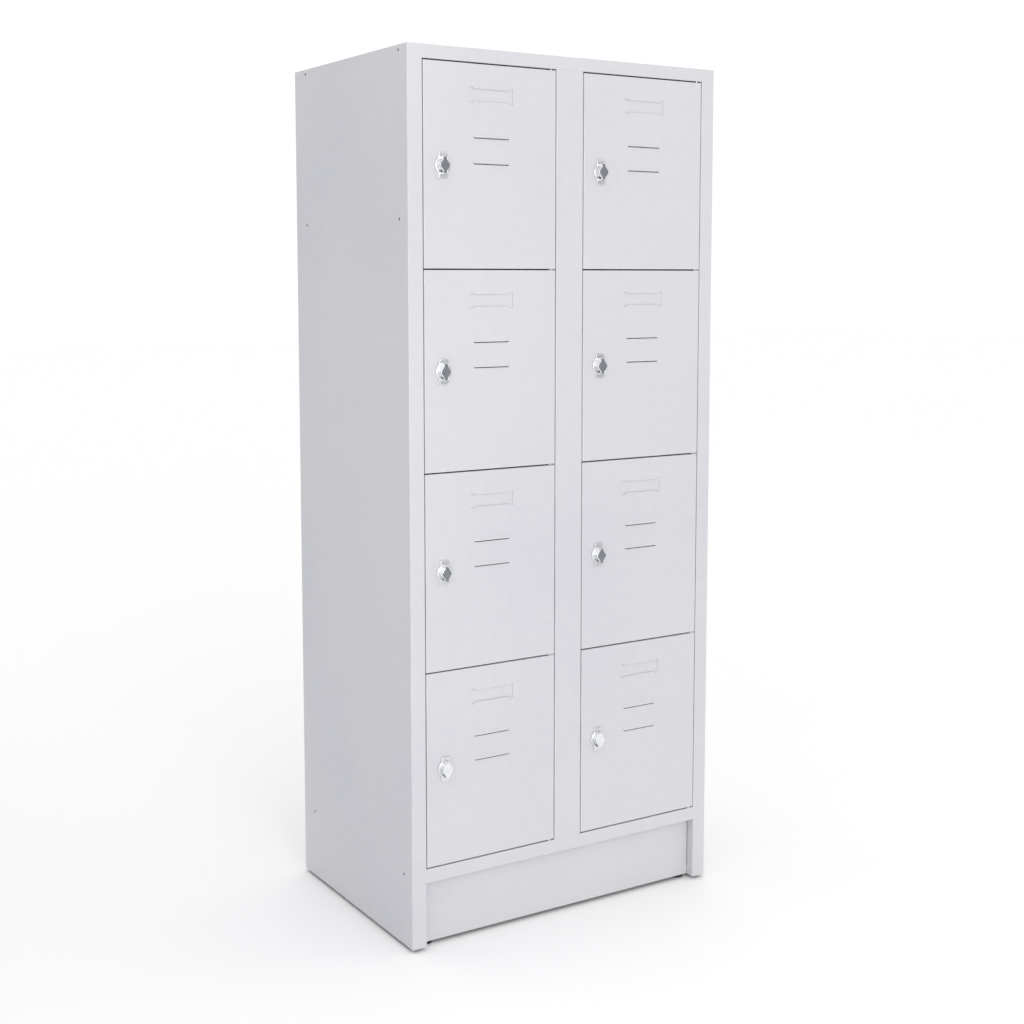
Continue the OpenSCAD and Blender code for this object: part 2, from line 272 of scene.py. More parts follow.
def powderCoat(name):
    # tone = slow drift + fine mottle; height = ripples of a millimetre or two + fine grain
    finish = Finish(name)
    where = objectPlace(finish)
    drift = finish.noise(where, coat["driftPerMetre"], 2)
    mottle = finish.noise(where, coat["mottlePerMetre"], 3, 0.6)
    haze = finish.noise(where, coat["hazePerMetre"], 4, 0.65)
    peel = finish.noise(where, coat["peelPerMetre"], 1)
    grain = finish.noise(where, coat["grainPerMetre"], 2)
    fold = finish.node("ShaderNodeAttribute", {"attribute_name": "fold"}, out="Fac")
    tone = finish.between(drift * 0.7 + mottle * 0.3, 0.35, 0.65)
    body = finish.blend(tone, coat["deep"], coat["light"])
    # paler folds in hazy patches: partly edge wear, partly a painted highlight along the bends
    wearAndHighlight = fold * finish.between(haze, 0.42, 0.62) * coat["foldWearAndHighlight"]
    colour = finish.blend(wearAndHighlight, body, coat["edgeWearAndHighlight"])
    roughness = coat["gloss"] + (haze - 0.5) * 0.16 + (grain - 0.5) * 0.06 - wearAndHighlight * 0.08
    normal = bumpOf(finish, peel * 0.8 + grain * 0.2, coat["peelStrength"], coat["peelDepth"])
    return finish.shader({"Base Color": colour, "Roughness": roughness, "Normal": normal,
                          "Specular IOR Level": 0.45})


# The chrome: its tones, how rough the knobs and the rosettes are, and how fine its marks are
bright = {
    "clear": (0.83, 0.84, 0.86, 1), "soft": (0.74, 0.74, 0.76, 1), "dull": (0.62, 0.63, 0.66, 1),
    "paintedEyeShade": (0.03, 0.03, 0.03, 1), "polished": 0.09, "satin": 0.34,
    "smearPerMetre": 55, "scratchPerMetre": 900, "pitPerMetre": 5200, "scratchDepth": 0.02 * mm,
}


def chromePlate(name, gloss, clear):
    # a clear plate with smears that dull it, fine scratches drawn out along X, and painted shade inside the
    # eye
    finish = Finish(name)
    where = objectPlace(finish)
    drawn = finish.node("ShaderNodeMapping", None, {"Vector": where, "Scale": (0.08, 1.0, 1.0)})
    smear = finish.noise(where, bright["smearPerMetre"], 4, 0.6)
    scratch = finish.noise(drawn, bright["scratchPerMetre"], 3, 0.7)
    pit = finish.noise(where, bright["pitPerMetre"], 2)
    dulled = finish.between(smear, 0.45, 0.75) * 0.55 + finish.between(pit, 0.68, 0.78) * 0.4
    inner = finish.node("ShaderNodeAttribute", {"attribute_name": "inner"}, out="Fac")
    plate = finish.blend(dulled, clear, bright["dull"])
    # painted shade: the faces inside the padlock eye turn near black and rougher, standing in for the shade
    # in the hole
    colour = finish.blend(inner, plate, bright["paintedEyeShade"])
    roughness = gloss + inner * 0.4 + dulled * 0.18 + (scratch - 0.5) * 0.08
    normal = bumpOf(finish, scratch * 0.6 + pit * 0.4, 0.12, bright["scratchDepth"])
    return finish.shader({"Base Color": colour, "Metallic": 1.0, "Roughness": roughness, "Normal": normal})


# The zinc: its two tones, the size of its crystals and its stains
galvanised = {
    "pale": (0.66, 0.68, 0.70, 1), "grey": (0.47, 0.49, 0.52, 1), "gloss": 0.34,
    "spanglePerMetre": 160, "stainPerMetre": 30, "grainPerMetre": 2400,
    "grainDepth": 0.03 * mm,
}


def zincPlate(name):
    # crystals of zinc, each with its own tone, under a faint stain
    finish = Finish(name)
    where = objectPlace(finish)
    spangle = finish.node("ShaderNodeTexVoronoi", {"feature": "F1"},
                          {"Vector": where, "Scale": galvanised["spanglePerMetre"]}, out="Color")
    crystal = finish.node("ShaderNodeSeparateColor", None, {"Color": spangle})
    stain = finish.noise(where, galvanised["stainPerMetre"], 3, 0.6)
    grain = finish.noise(where, galvanised["grainPerMetre"], 2)
    tone = finish.between(crystal * 0.55 + stain * 0.45, 0.25, 0.8)
    colour = finish.blend(tone, galvanised["grey"], galvanised["pale"])
    roughness = galvanised["gloss"] + crystal * 0.12 + (grain - 0.5) * 0.1
    normal = bumpOf(finish, crystal * 0.3 + grain * 0.7, 0.2, galvanised["grainDepth"])
    return finish.shader({"Base Color": colour, "Metallic": 1.0, "Roughness": roughness, "Normal": normal})


# The rubber: its tones, the size of its dust patches and its moulded grain
moulded = {
    "black": (0.018, 0.018, 0.020, 1), "dusty": (0.075, 0.073, 0.070, 1), "gloss": 0.58,
    "dustPerMetre": 70, "grainPerMetre": 1900, "grainDepth": 0.08 * mm,
}


def blackRubber(name):
    # dust lies in patches over a fine moulded grain
    finish = Finish(name)
    where = objectPlace(finish)
    dust = finish.between(finish.noise(where, moulded["dustPerMetre"], 4, 0.65), 0.45, 0.75)
    grain = finish.noise(where, moulded["grainPerMetre"], 3, 0.6)
    colour = finish.blend(dust * 0.5, moulded["black"], moulded["dusty"])
    normal = bumpOf(finish, grain, 0.4, moulded["grainDepth"])
    return finish.shader({"Base Color": colour, "Roughness": moulded["gloss"] + dust * 0.25 + grain * 0.1,
                          "Normal": normal})


powder = powderCoat("powder_coat")
chrome = chromePlate("chrome_plate", bright["polished"], bright["clear"])
satin = chromePlate("satin_chrome", bright["satin"], bright["soft"])
zinc = zincPlate("zinc_plate")
rubber = blackRubber("black_rubber")
print("materials ready")


# The sheets: bend radii, folds, joining holes (from the front and from the floor) and hinge slots
carcass = {
    "bend": 1.5 * mm, "innerBend": 0.5 * mm, "frameDepth": 22 * mm, "lip": 12 * mm, "rearFold": 20 * mm,
    "squareEdge": 0.4 * mm, "holeRadius": 3 * mm, "holeCell": 8 * mm, "holeDepths": (38 * mm, 492 * mm),
    "holeHeights": (1909 * mm, 1566 * mm, 166 * mm), "slotHalf": 1.6 * mm,
    "slotStart": 2.0 * mm, "slotDepth": 11 * mm, "bendEnd": 2.1 * mm,
}
front, rear = boxes["top_panel"][0, 1], boxes["top_panel"][1, 1]
top = boxes["top_panel"][1, 2]
openingTop = boxes["centre_stile"][1, 2]
openingBottom = boxes["centre_stile"][0, 2]
railFoot = boxes["bottom_panel"][0, 2]
jamb = boxes["plinth_panel"][1, 0]
mid = -boxes["centre_stile"][0, 0]
outer = boxes["side_panel_right"][1, 0]
lipFront = front + carcass["frameDepth"]
lipBack = lipFront + sheetGauge
bendEnd, slotEnd = front + carcass["bendEnd"], front + carcass["slotDepth"]
rowPitch = boxes["door_1"][1, 2] - boxes["door_2"][1, 2]
gapHeights = boxes["hinge_brackets"][:, 2].mean() + np.array([-1, 0, 1]) * rowPitch
slotStations = np.concatenate([gapHeights - carcass["slotHalf"], gapHeights + carcass["slotHalf"]])


def carcassSheet(name, line, stations, toPoint, keep, squared, patches=(), turn=-1):
    # a folded line carried along its stations; squared says where a fold is a plain corner, and turn is
    # -1 where line x station points into the sheet
    rounded, sharp, bend = line
    stations = np.unique(np.round(stations, 7))
    k, s = np.meshgrid(np.arange(len(rounded)), np.arange(len(stations)), indexing="ij")
    flat = squared(sharp[k], stations[s])[..., None]
    across = np.where(flat, sharp[k], rounded[k])
    cells = latticeCells(*k.shape)
    middle = np.stack([cellMiddle(across[..., 0]), cellMiddle(across[..., 1])], axis=-1)
    kept = keep(middle, cellMiddle(stations[s]))
    piece = Piece(name)
    piece.add(toPoint(across, stations[s]), cells[kept][:, ::turn], np.where(flat[..., 0], 0, bend[k]))
    for points, faces in patches:
        piece.add(points, faces)
    return piece.mesh(gauge=sheetGauge)


def around(middle, half, count=9):
    # lattice lines across a cell round a hole
    return np.linspace(middle - half, middle + half, count)


def sideSheet(side):
    # side is -1 for the left wall and 1 for the right one; a jamb fold is a plain corner beside a rail
    r, tight, cell = carcass["bend"], carcass["innerBend"], carcass["holeCell"]
    depthLines = [around(front + d, cell) for d in carcass["holeDepths"]]
    heightLines = [around(z, cell) for z in carcass["holeHeights"]]
    wall = [(outer, y) for y in np.concatenate(depthLines)]
    inner, radii = [(jamb - carcass["lip"], lipFront), (jamb, lipFront)], [tight]
    if side > 0:
        inner = [(jamb + carcass["lip"], lipBack), (jamb, lipBack), (jamb, slotEnd), (jamb, bendEnd)]
        radii = [r, 0, 0]
    corners = [*inner, (jamb, front), (outer, front), *wall, (outer, rear),
               (outer - carcass["rearFold"], rear)]
    line = foldedLine(corners, radii + [r, r] + [0] * len(wall) + [r])
    edge = carcass["squareEdge"]
    low, high = boxes["side_panel_left"][0, 2], top - sheetGauge
    stations = np.concatenate([[low, railFoot - edge, railFoot, openingBottom, openingBottom - edge,
                                openingTop, openingTop + edge, high], *heightLines, slotStations])

    def keep(middle, z):
        x, y = middle[..., 0], middle[..., 1]
        lip = (y > lipFront - tight) & (y < 0) & (x < outer - 2 * sheetGauge)
        kept = ~lip | inside(z, openingBottom, openingTop)
        onWall = x > outer - onPlane
        for lines in depthLines:
            for heights in heightLines:
                kept &= ~(onWall & inside(y, lines[0], lines[-1]) & inside(z, heights[0], heights[-1]))
        if side > 0:
            inSlot = inside(y, front + carcass["slotStart"], slotEnd) & (x < jamb + onPlane)
            kept &= ~(inSlot & besideTongue(z))
        return kept

    def squared(sharp, z):
        byRail = inside(z, railFoot - edge / 2, openingBottom - edge / 2) | (z > openingTop + edge / 2)
        return byRail & (np.abs(sharp[..., 0] - jamb) < onPlane) & (sharp[..., 1] < front + onPlane)

    def toPoint(across, z):
        return np.stack([side * across[..., 0], across[..., 1], z], axis=-1)

    patches = []
    for lines in depthLines:
        for heights in heightLines:
            flat, faces = ringPatch(lines, heights, (lines.mean(), heights.mean()), carcass["holeRadius"])
            points = np.stack([np.full(len(flat), side * outer), flat[:, 0], flat[:, 1]], axis=1)
            patches.append((points, faces[:, ::side]))
    name = "side_panel_left" if side < 0 else "side_panel_right"
    return carcassSheet(name, line, stations, toPoint, keep, squared, patches, turn=side), name


def makeSides():
    for side in (-1, 1):
        mesh, name = sideSheet(side)
        place(f"{name}_sheet", mesh, powder, "carcass", name)


def besideTongue(z):
    # True at the heights of the hinge slots
    return (np.abs(z[..., None] - gapHeights) < carcass["slotHalf"]).any(axis=-1)


def never(sharp, stations):
    return np.zeros(sharp.shape[:-1], bool)


def upright(across, z):
    # a line across the cabinet carried upwards
    return np.stack([across[..., 0], across[..., 1], z], axis=-1)


def makeCentreStile():
    # a channel, open to the back, with a lip on either side and hinge slots on its left
    r, tight = carcass["bend"], carcass["innerBend"]
    corners = [(mid + carcass["lip"], lipFront), (mid, lipFront), (mid, front), (-mid, front),
               (-mid, bendEnd), (-mid, slotEnd), (-mid, lipBack), (carcass["lip"] - mid, lipBack)]
    line = foldedLine(corners, [tight, r, r, 0, 0, r])
    stations = np.concatenate([[openingBottom, openingTop], slotStations])

    def keep(middle, z):
        onJamb = middle[..., 0] < onPlane - mid
        return ~(onJamb & inside(middle[..., 1], bendEnd, slotEnd) & besideTongue(z))

    mesh = carcassSheet("centre_stile", line, stations, upright, keep, never)
    place("centre_stile_sheet", mesh, powder, "carcass", "centre_stile")


def makeTopPanel():
    # a slab with rounded edges: depth below the top = fourth-power norm of the depths of both folds
    r = sheetGauge
    acrossX = foldedLine([(-outer, r), (-outer, 0), (-jamb, 0), (-mid, 0), (mid, 0), (jamb, 0), (outer, 0),
                          (outer, r)], [r, 0, 0, 0, 0, r], margin=carcass["squareEdge"])[0]
    fall = top - openingTop
    corners = [(rear, r), (rear, 0), (front, 0), (front, fall), (lipBack, fall)]
    line, sharp, fold = foldedLine(corners, [r, r, carcass["bend"]])
    i, j = np.meshgrid(np.arange(len(acrossX)), np.arange(len(line)), indexing="ij")
    x, sideDrop = acrossX[i, 0], acrossX[i, 1]
    square = (np.abs(x) <= mid + onPlane) & (sharp[j][..., 1] > fall - onPlane)
    y = np.where(square, sharp[j][..., 0], line[j][..., 0])
    drop = np.where(square, sharp[j][..., 1], line[j][..., 1])
    depth = (sideDrop ** 4 + drop ** 4) ** 0.25
    cells = latticeCells(*i.shape)
    kept = (cellMiddle(drop) < r) | (np.abs(cellMiddle(x)) < jamb)
    points = np.stack([x, y, top - depth], axis=-1)
    piece = Piece("top_panel").add(points, cells[kept][:, ::-1], np.where(square, 0, fold[j]))
    place("top_panel_sheet", piece.mesh(gauge=sheetGauge), powder, "carcass", "top_panel")


def makeBottomPanel():
    # the floor of the lowest compartments, the rail in front of it, and the tabs that close the stiles
    r = carcass["bend"]
    innerRear = boxes["bottom_panel"][1, 1]
    plinthBack = boxes["plinth_panel"][0, 1] + sheetGauge
    line = foldedLine([(plinthBack, railFoot), (front, railFoot), (front, openingBottom),
                       (bendEnd, openingBottom), (lipBack, openingBottom), (innerRear, openingBottom)],
                      [r, r, 0, 0])
    edges = np.array([mid, mid + carcass["squareEdge"], jamb, jamb + sheetGauge, outer - sheetGauge])
    stations = np.concatenate([-edges, edges])

    def keep(middle, x):
        onFloor = middle[..., 1] > openingBottom - onPlane
        floor = onFloor & (middle[..., 0] > lipBack)
        inStile = onFloor & inside(middle[..., 0], bendEnd, lipBack) & (np.abs(x) > jamb + sheetGauge)
        return (np.abs(x) < jamb) | floor | inStile

    def squared(sharp, x):
        return (np.abs(x) <= mid + onPlane) & (sharp[..., 1] > openingBottom - onPlane)

    def toPoint(across, x):
        return np.stack([x, across[..., 0], across[..., 1]], axis=-1)

    mesh = carcassSheet("bottom_panel", line, stations, toPoint, keep, squared)
    place("bottom_panel_sheet", mesh, powder, "carcass", "bottom_panel")


def makePlinth():
    r = carcass["bend"]
    low, high = boxes["plinth_panel"][:, 2]
    face, back = boxes["plinth_panel"][:, 1]
    line = foldedLine([(jamb, back), (jamb, face), (-jamb, face), (-jamb, back)], [r, r])

    def keep(middle, z):
        return np.ones(z.shape, bool)

    mesh = carcassSheet("plinth_panel", line, np.array([low, high]), upright, keep, never)
    place("plinth_sheet", mesh, powder, "carcass", "plinth_panel")


makeSides()
makeCentreStile()
makeTopPanel()
makeBottomPanel()
makePlinth()
print("carcass sheets ready")


# The door: its folds, the holes for latch and pins, the card field with its two rails, and the louvers
door = {
    "bend": 1.5 * mm, "deep": 20 * mm, "lip": 11 * mm,
    "latchIn": 45 * mm, "latchHole": 9.2 * mm, "latchCell": 13 * mm,
    "pinIn": 10 * mm, "pinBack": 6 * mm, "pinHole": 3.2 * mm, "pinCell": 4 * mm,
    "cardWide": 108 * mm, "cardTall": 34 * mm, "cardTop": 47 * mm, "cardDeep": 2 * mm, "cardWall": 0.8 * mm,
    "railLong": 89 * mm, "railTall": 4 * mm, "railEdge": 0.35 * mm, "railMargin": 0.2 * mm,
    "louvers": 2, "louverLong": 88 * mm, "louverTall": 9 * mm, "louverOut": 3 * mm, "louverSlot": 1.5 * mm,
    "louverTop": 152 * mm, "louverPitch": 53.5 * mm, "louverEnd": 4.5 * mm,
    "louverFrom": -1e-6, "louverFlat": 0.25,  # shares of its height: where it starts, how far it stays out
}


def ramp(values):
    return np.clip(values, 0, 1)


def sortedStops(*groups):
    # lattice lines in order, each once
    return np.unique(np.round(np.concatenate(groups), 7))


def halfWave(values):
    # 0 to 1 along half a cosine wave, as values go from 0 to 1
    return 0.5 - 0.5 * np.cos(math.pi * ramp(values))


def doorPan():
    # one sheet on a lattice of x by height: depth = fourth-power norm of both folds' depths, plus the card
    # field pressed in, minus each louver pressed out = reach x rounded ends x cosine fall
    low, high = boxes["door_1"]
    wide, tall, deep = high[0] - low[0], high[2] - low[2], door["deep"]
    r, middle = door["bend"], wide / 2
    latchX = around(door["latchIn"], door["latchCell"])
    latchZ = around(tall / 2, door["latchCell"])
    pinX = around(wide - door["pinIn"], door["pinCell"], 7)
    ends = door["louverLong"] / 2 - np.array([0, 0.7, 1.6, 2.7, 4.5]) * mm  # closer together at the tips
    wall = np.linspace(0, 1, 4) * door["cardWall"]
    walls = door["cardWide"] / 2 - wall
    xStops = sortedStops(latchX, pinX, middle - ends, middle + ends, middle - walls, middle + walls)
    feet = tall - door["louverTop"] - np.arange(door["louvers"]) * door["louverPitch"]
    hood = np.array([0, 0.12, 0.25, 0.4, 0.55, 0.7, 0.85, 1]) * door["louverTall"]
    cardTop = tall - door["cardTop"]
    cardLow = cardTop - door["cardTall"]
    zStops = sortedStops(latchZ, *[f + hood for f in feet], feet - door["louverSlot"], cardTop - wall,
                         cardLow + wall)
    across = foldedLine([(door["lip"], deep), (0, deep), (0, 0), *[(x, 0) for x in xStops], (wide, 0),
                         (wide, deep), (wide - door["lip"], deep)], [r, r] + [0] * len(xStops) + [r, r])
    pinDepths = around(door["pinBack"], door["pinCell"], 7)
    upwards = foldedLine([(0, deep), *[(0, d) for d in pinDepths[::-1]], (0, 0), *[(z, 0) for z in zStops],
                          (tall, 0), *[(tall, d) for d in pinDepths], (tall, deep)],
                         [0] * len(pinDepths) + [r] + [0] * len(zStops) + [r] + [0] * len(pinDepths))
    i, j = np.meshgrid(np.arange(len(across[0])), np.arange(len(upwards[0])), indexing="ij")
    x, sideDrop = across[0][i, 0], across[0][i, 1]
    z, endDrop = upwards[0][j, 0], upwards[0][j, 1]
    depth = (sideDrop ** 4 + endDrop ** 4) ** 0.25
    flat = depth < onPlane
    fromEdge = np.minimum(np.minimum(z - cardLow, cardTop - z), door["cardWide"] / 2 - np.abs(x - middle))
    depth += flat * door["cardDeep"] * halfWave(fromEdge / door["cardWall"])
    end = 1 - ramp((door["louverLong"] / 2 - np.abs(x - middle)) / door["louverEnd"])
    for base in feet:
        share = (z - base) / door["louverTall"]
        fall = 1 - halfWave((share - door["louverFlat"]) / (1 - door["louverFlat"]))
        fall = np.where(share < door["louverFrom"], 0, fall)
        depth -= flat * door["louverOut"] * np.sqrt(1 - end ** 2) * fall
    cells = latticeCells(*i.shape)
    cx, cz = cellMiddle(x), cellMiddle(z)
    cSide, cEnd = cellMiddle(sideDrop), cellMiddle(endDrop)
    # the flanges do not meet: at a corner the sheet stops where both folds have turned
    kept = ((cSide <= r) | (cEnd < onPlane)) & ((cEnd <= r) | (cSide < onPlane))
    face = (cSide < onPlane) & (cEnd < onPlane)
    for base in feet:
        kept &= ~(face & inside(cz, base - door["louverSlot"], base) & (np.abs(cx - middle) < ends[1]))
    kept &= ~(face & inside(cx, latchX[0], latchX[-1]) & inside(cz, latchZ[0], latchZ[-1]))
    kept &= ~((cEnd > r) & inside(cx, pinX[0], pinX[-1]) & inside(cEnd, pinDepths[0], pinDepths[-1]))
    piece = Piece("door")
    piece.add(np.stack([low[0] + x, front + depth, low[2] + z], axis=-1), cells[kept],
              np.maximum(across[2][i], upwards[2][j]))
    zLines = zStops[(zStops > latchZ[0] - onPlane) & (zStops < latchZ[-1] + onPlane)]
    ring, faces = ringPatch(latchX, zLines, (door["latchIn"], tall / 2), door["latchHole"])
    piece.add(np.stack([low[0] + ring[:, 0], np.full(len(ring), front), low[2] + ring[:, 1]], axis=1), faces)
    for height, turn in ((0, -1), (tall, 1)):
        ring, faces = ringPatch(pinX, pinDepths, (wide - door["pinIn"], door["pinBack"]), door["pinHole"])
        level = np.full(len(ring), low[2] + height)
        piece.add(np.stack([low[0] + ring[:, 0], front + ring[:, 1], level], axis=1), faces[:, ::turn])
    rails = [cardRail(low, middle, cardTop, -1), cardRail(low, middle, cardLow, 1)]
    return joined("door", piece.mesh(gauge=sheetGauge), *rails)


def cardRail(low, middle, edge, inwards):
    # a flat bar flush with the door's face, its free long edge rounded
    half, tall, r = door["railLong"] / 2, door["railTall"], door["railEdge"]
    outline = [(0, 0), (tall, 0), (tall, sheetGauge), (0, sheetGauge)]
    line = foldedLine(outline, [r, r], steps=3, margin=door["railMargin"])[0]
    x, k = np.meshgrid(np.array([-half, half]), np.arange(len(line)), indexing="ij")
    y, z = front + line[k][..., 1], low[2] + edge + inwards * line[k][..., 0]
    return bar("card_rail", np.stack([low[0] + middle + x, y, z], axis=-1))


def bar(name, points):
    # a closed outline at two ends, joined round its sides and capped
    n = points.shape[1]
    ring = np.arange(n)
    after = (ring + 1) % n
    piece = Piece(name).add(points, np.stack([ring, after, n + after, n + ring], axis=1))
    piece.faces += [list(range(n)), list(range(2 * n - 1, n - 1, -1))]
    return piece.mesh(turnOut=True)


def joined(name, *meshes):
    # several meshes as one
    work = bmesh.new()
    for each in meshes:
        work.from_mesh(each)
    whole = bpy.data.meshes.new(name)
    work.to_mesh(whole)
    work.free()
    return whole


def makeDoors():
    pan = doorPan()
    for number in doorNumbers:
        node = f"door_{number}"
        own = moved(pan, f"{node}_pan", boxes[node][0] - boxes["door_1"][0])
        place(f"{node}_pan", own, powder, f"leaf_{number}", node)


makeDoors()
print("doors ready")


# The lock: rosette, threaded neck, knob and padlock eye; depths count forwards from the door's face
lock = {
    "round": 19 * mm, "lugHalf": (11.5 * mm, 27.5 * mm), "lugPower": 9, "plate": 3 * mm,
    "neck": 9 * mm, "neckLong": 14 * mm, "bore": 4.15 * mm, "threadPitch": 1.5 * mm, "threadDeep": 0.5 * mm,
    "knobHalf": (13.5 * mm, 17.0 * mm), "knobPower": 1.28, "nubHalf": (4.75 * mm, 18.4 * mm),
    "knobBack": 3.3 * mm, "knobFace": 13.0 * mm, "spindle": 4 * mm, "spindleEnd": 25 * mm, "around": 96,
    "eyeDrop": 12.3 * mm, "eyeHalf": (2.5 * mm, 3.0 * mm), "eyeMiddle": 7.0 * mm, "eyePower": 0.45,
    "eyeReach": 20 * mm, "eyeAround": 32,
}


def softLargest(first, second, power=24):
    # close to the larger of two lengths, with a small fillet where they cross
    return (first ** power + second ** power) ** (1 / power)


def rosetteOutline(angle):
    # a disc joined to an upright rectangle with soft corners
    c, s = np.abs(np.cos(angle)), np.abs(np.sin(angle))
    (a, b), p = lock["lugHalf"], lock["lugPower"]
    bar = ((c / a) ** p + (s / b) ** p) ** (-1 / p)
    return softLargest(np.full_like(angle, lock["round"]), bar)


def knobOutline(angle):
    # a rhombus with soft corners joined to an upright rectangle
    c, s = np.abs(np.cos(angle)), np.abs(np.sin(angle))
    (a, b), p = lock["knobHalf"], lock["knobPower"]
    rhombus = ((c / a) ** p + (s / b) ** p) ** (-1 / p)
    nub = np.minimum(lock["nubHalf"][0] / np.maximum(c, 1e-6), lock["nubHalf"][1] / np.maximum(s, 1e-6))
    return softLargest(rhombus, nub)


def lathed(name, radius, angle, along, closed=False):
    # rings round an axis: (radius x cosine, radius x sine) across it and along it
    c, s = np.cos(angle)[:, None], np.sin(angle)[:, None]
    points = along(radius * c, radius * s)
    index = np.arange(radius.size).reshape(radius.shape)
    wrapped = np.vstack([index, index[:1]])
    if closed:
        wrapped = np.hstack([wrapped, wrapped[:, :1]])
    faces = np.stack([wrapped[:-1, :-1], wrapped[1:, :-1], wrapped[1:, 1:], wrapped[:-1, 1:]], axis=-1)
    return Piece(name).add(points, faces.reshape(-1, 4)).mesh(turnOut=True)


def screwThread(distance, pitch, angle):
    # 0 to 1 and back once a pitch, a pitch further on for each turn
    phase = distance / pitch - angle / (2 * math.pi)
    return np.abs(2 * (phase % 1) - 1)


def turned(name, outline, profile, closed):
    # radius = share of the outline less an inset, plus the rest of a plain radius; Y is the axis
    angle = np.arange(lock["around"]) * 2 * math.pi / lock["around"]
    edge = outline(angle)[:, None]
    share, inset, plain, y = np.asarray(profile, float).T
    radius = share * (edge - inset) + (1 - share) * plain
    onThread = inside(y, 1.2 * mm, lock["neckLong"] - 0.9 * mm) & (plain > lock["bore"] * 1.5) & (share == 0)
    radius = radius - onThread * lock["threadDeep"] * screwThread(y, lock["threadPitch"], angle[:, None])

    def along(across, up):
        return np.stack([across, np.broadcast_to(y, radius.shape), up], axis=-1)

    return lathed(name, radius, angle, along, closed)


def rosetteMesh():
    # a rolled edge, a raised ring round the knob, a bore, and a threaded neck behind
    t = lock["plate"]
    bore, neck, end = lock["bore"], lock["neck"], lock["neckLong"]
    face = [(1, 0.3 * mm, 0, 0), (1, 0, 0, -0.4 * mm), (1, 0, 0, -1.5 * mm), (1, 0.25 * mm, 0, -2.2 * mm),
            (1, 0.8 * mm, 0, -2.7 * mm), (1, 1.6 * mm, 0, -2.94 * mm), (1, 2.8 * mm, 0, -t)]
    step = [(0, 0, 15.6 * mm, -t), (0, 0, 15.3 * mm, -2.7 * mm), (0, 0, 14.6 * mm, -2.62 * mm),
            (0, 0, 14.2 * mm, -2.95 * mm), (0, 0, 9 * mm, -t), (0, 0, bore + 0.4 * mm, -t),
            (0, 0, bore, 0.4 * mm - t)]
    thread = np.arange(end - 0.8 * mm, 1.0 * mm, -lock["threadPitch"] / 8)
    back = [(0, 0, bore, end - 0.4 * mm), (0, 0, bore + 0.4 * mm, end), (0, 0, neck - 0.9 * mm, end),
            (0, 0, neck - 0.2 * mm, end - 0.7 * mm), *[(0, 0, neck, y) for y in thread],
            (0, 0, neck, 0.6 * mm), (0, 0, neck, 0), (0, 0, neck + 1 * mm, 0)]
    return turned("rosette", rosetteOutline, face + step + back, True)


def knobMesh():
    # flanks that lean in towards the face, a rolled edge and a shallow dished face
    back, face = lock["knobBack"], lock["knobFace"]
    stem = [(0, 0, 0, lock["spindleEnd"]), (0, 0, 3.5 * mm, lock["spindleEnd"]),
            (0, 0, lock["spindle"], lock["spindleEnd"] - 0.5 * mm), (0, 0, lock["spindle"], 0.2 * mm - back),
            (0, 0, lock["spindle"] + 0.3 * mm, -back)]
    flank = [(1, 1.2 * mm, 0, -back), (1, 0.4 * mm, 0, -back - 0.25 * mm), (1, 0, 0, -back - 0.9 * mm),
             (1, 0, 0, -back - 1.8 * mm), (1, 0.08 * mm, 0, -7 * mm), (1, 0.2 * mm, 0, -9 * mm),
             (1, 0.36 * mm, 0, -10.8 * mm), (1, 0.48 * mm, 0, -12.0 * mm)]
    rim = [(1, 0.62 * mm, 0, -12.5 * mm), (1, 0.88 * mm, 0, -12.82 * mm), (1, 1.25 * mm, 0, -face),
           (1, 1.6 * mm, 0, -face), (1, 1.9 * mm, 0, -12.92 * mm), (1, 2.4 * mm, 0, -12.88 * mm)]
    dish = [(0.75, 3 * mm, 3 * mm, -12.86 * mm), (0.4, 3 * mm, 3 * mm, -12.85 * mm), (0, 0, 0, -12.84 * mm)]
    return cutEye(turned("knob", knobOutline, stem + flank + rim + dish, False))


def cutEye(body):
    # takes the padlock's eye out of the knob: a rounded box of half sizes x (cosine, sine) ^ power, along X
    angle = np.arange(lock["eyeAround"]) * 2 * math.pi / lock["eyeAround"]
    (halfDeep, halfTall), power = lock["eyeHalf"], lock["eyePower"]
    dy = halfDeep * np.sign(np.cos(angle)) * np.abs(np.cos(angle)) ** power
    dz = halfTall * np.sign(np.sin(angle)) * np.abs(np.sin(angle)) ** power
    ends = np.array([-lock["eyeReach"], lock["eyeReach"]])
    x, k = np.meshgrid(ends, np.arange(lock["eyeAround"]), indexing="ij")
    hollow = bar("eye", np.stack([x, dy[k] - lock["eyeMiddle"], dz[k] - lock["eyeDrop"]], axis=-1))
    # the share of each face that is inside the eye, which the chrome reads to paint shade there
    for mesh, share in ((body, 0.0), (hollow, 1.0)):
        layer = mesh.attributes.new("inner", "FLOAT", "FACE")
        layer.data.foreach_set("value", np.full(len(mesh.polygons), share, np.float32))
    tool = bpy.data.objects.new("eye", hollow)
    holder = bpy.data.objects.new("holder", body)
    for each in (tool, holder):
        bpy.context.scene.collection.objects.link(each)
    cut = holder.modifiers.new("eye", "BOOLEAN")
    cut.operation, cut.solver, cut.object = "DIFFERENCE", "EXACT", tool
    ready = settled(holder)
    bpy.data.objects.remove(tool)
    ready.shade_smooth()
    ready.set_sharp_from_angle(angle=math.radians(32))
    return ready


def makeLocks():
    plate, knob = rosetteMesh(), knobMesh()
    for number in doorNumbers:
        low, high = boxes[f"rosette_{number}"]
        axis = ((low[0] + high[0]) / 2, front, (low[2] + high[2]) / 2)
        place(f"rosette_{number}_plate", moved(plate, f"rosette_{number}_plate", axis), satin,
              f"leaf_{number}", f"rosette_{number}")
        place(f"knob_{number}_grip", moved(knob, f"knob_{number}_grip", axis), chrome,
              f"latch_{number}", f"knob_{number}")


makeLocks()
print("locks ready")


